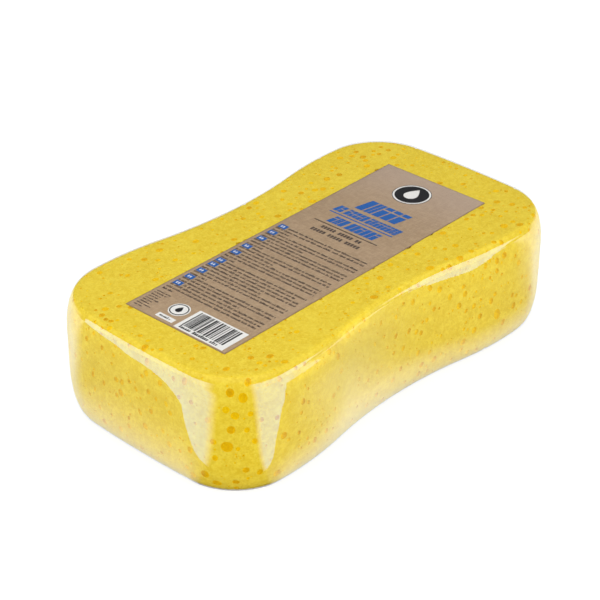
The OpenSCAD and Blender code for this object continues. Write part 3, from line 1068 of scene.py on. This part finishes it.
# On the floor: two soft boxes in front, a bright back, a dim gap and a pale band along the block's foot
def mirroredFloor(f):
    ahead, aside, z = seenFromHere(f, f.place())
    fromAhead, fromAside = studio["sectorFrom"]
    spread = aside - fromAside * mm
    side = spread.ramp(-0.5 * mm, 0.5 * mm) * 2 - 1
    outer = abs(spread) - studio["sectorGap"] * mm
    beyond = outer.math("MAXIMUM", outer, 0)
    off = ahead.math("ARCTAN2", beyond, ahead - fromAhead * mm) * side * degree
    sector = besideCamera(off, ahead.ramp(0.2, 0.55) * studio["darkFarLeft"])
    start = studio["boxStart"] * mm
    for way, bends in ((aside, studio["boxBends"]), (0 - aside, studio["boxBendsLeft"])):
        for low, high, more in bends:
            start = start + way.ramp(low * mm, high * mm) * (more * mm)
    box = (ahead - start).ramp(-0.5 * mm, 0.5 * mm) * sector
    backStart = 54 * mm - aside.ramp(-0.06, 0.06) * 75 * mm
    back = (backStart - ahead).ramp(-5 * mm, 40 * mm)
    x, y, z = (f.node("ShaderNodeSeparateXYZ", {}, {"Vector": f.place()}, output=i) for i in range(3))
    reach = ((abs(x) / filmHigh.x) ** 5 + (abs(y) / filmHigh.y) ** 5) ** 0.2
    foot = 1 - (reach - 1).ramp(0, studio["footReach"] * mm / filmHigh.y)
    nearAhead = (ahead - studio["poolMiddle"][0] * mm) / (studio["poolSize"][0] * mm)
    nearAside = (aside - studio["poolMiddle"][1] * mm) / (studio["poolSize"][1] * mm)
    pool = 1 - ((nearAhead ** 2 + nearAside ** 2) ** 0.5).ramp(0.1, 1)
    gap = studio["gap"] + (studio["gapRight"] - studio["gap"]) * aside.ramp(0, 0.05)
    near = sector * gap + foot * studio["foot"] * abs(off).ramp(15, 75) + studio["front"]
    near = near + pool * studio["pool"]
    return mirrored(f, box, back * studio["behind"] + (1 - back) * near, studio["boxColour"])


def makeFloor():
    bpy.ops.object.select_all(action="DESELECT")
    bpy.ops.mesh.primitive_plane_add(size=studio["floorSize"], location=(0, 0, 0))
    floor = bpy.context.object
    floor.name = "floor"
    f = Finish("floorWhite")
    lit = f.node("ShaderNodeBsdfDiffuse", {}, {"Color": (*[studio["floorColour"]] * 3, 1)})
    seen = f.node("ShaderNodeLightPath", output="Is Camera Ray")
    inFilm = f.node("ShaderNodeLightPath", output="Is Glossy Ray")
    glow = f.node("ShaderNodeEmission", {}, {"Color": (1, 1, 1, 1), "Strength": studio["floorGlow"]})
    pale = f.node("ShaderNodeBsdfDiffuse", {}, {"Color": (*[studio["floorShade"]] * 3, 1)})
    shine = f.node("ShaderNodeEmission", {}, mirroredFloor(f))
    both = f.node("ShaderNodeAddShader", {}, {0: glow, 1: pale})
    plain = f.node("ShaderNodeMixShader", {}, {0: seen, 1: lit, 2: both})
    floor.data.materials.append(f.output(f.node("ShaderNodeMixShader", {}, {0: inFilm, 1: plain, 2: shine})))


def makeWorld():
    world = bpy.data.worlds.new("studioWorld")
    bpy.context.scene.world = world
    f = Finish("studioWorld", world)
    ahead, aside, z = seenFromHere(f, f.node("ShaderNodeTexCoord", output="Generated"))
    off = ahead.math("ARCTAN2", aside, ahead) * degree
    bearing = abs(off)
    right = off.ramp(0, 1)
    height = z.math("ARCSINE", z) * degree
    top = studio["boxTop"] - bearing.ramp(82, 99) * right * 5
    bottom = bearing.ramp(84, 90) * right * 5.5 - 0.5
    box = besideCamera(off, studio["darkFarLeft"]) * (1 - bearing.ramp(90 - 6 * right, 91 + 8 * right))
    box = box * height.ramp(bottom - 0.5, bottom + 0.5) * (1 - height.ramp(top - 1.5, top + 1.5))
    back = bearing.ramp(91 + 7 * right, 120) * (1 - height.ramp(2, 22)) * 0.85
    upper = (1 - bearing.ramp(60, 150)) * height.ramp(18, 38) * 0.16
    rest = back * studio["behind"] + upper + studio["overhead"]
    path = f.node("ShaderNodeLightPath", output="Is Glossy Ray")
    lamp = f.node("ShaderNodeBackground", {}, {"Color": (1, 1, 1, 1), "Strength": studio["skyLight"]})
    white = f.node("ShaderNodeBackground", {}, {"Color": (1, 1, 1, 1), "Strength": 1})
    shine = f.node("ShaderNodeBackground", {}, mirrored(f, box, rest, studio["highBoxColour"]))
    seen = f.node("ShaderNodeLightPath", output="Is Camera Ray")
    plain = f.node("ShaderNodeMixShader", {}, {0: seen, 1: lamp, 2: white})
    f.output(f.node("ShaderNodeMixShader", {}, {0: path, 1: plain, 2: shine}), "ShaderNodeOutputWorld")
    world.cycles.sampling_method = "NONE"


def makeLamp(name, place, size, power):
    data = bpy.data.lights.new(name, "AREA")
    data.shape = "RECTANGLE"
    data.size, data.size_y = size
    data.energy = power
    lamp = bpy.data.objects.new(name, data)
    lamp.location = place
    lamp.rotation_euler = (-Vector(place)).to_track_quat("-Z", "Y").to_euler()
    lamp.visible_glossy = False
    bpy.context.scene.collection.objects.link(lamp)


def sideways(degrees, distance, height):
    turn = facing + math.radians(degrees)
    return math.cos(turn) * distance, math.sin(turn) * distance, height


makeFloor()
makeWorld()
turn, away, up = studio["sideLamp"]
makeLamp("keyLamp", studio["keyPlace"], studio["keySize"], studio["keyPower"])
makeLamp("leftLamp", sideways(-turn, away, up), studio["sideSize"], studio["leftPower"])
makeLamp("rightLamp", sideways(turn, away, up), studio["sideSize"], studio["rightPower"])
bpy.context.scene.view_settings.view_transform = "Standard"
print("studio made")
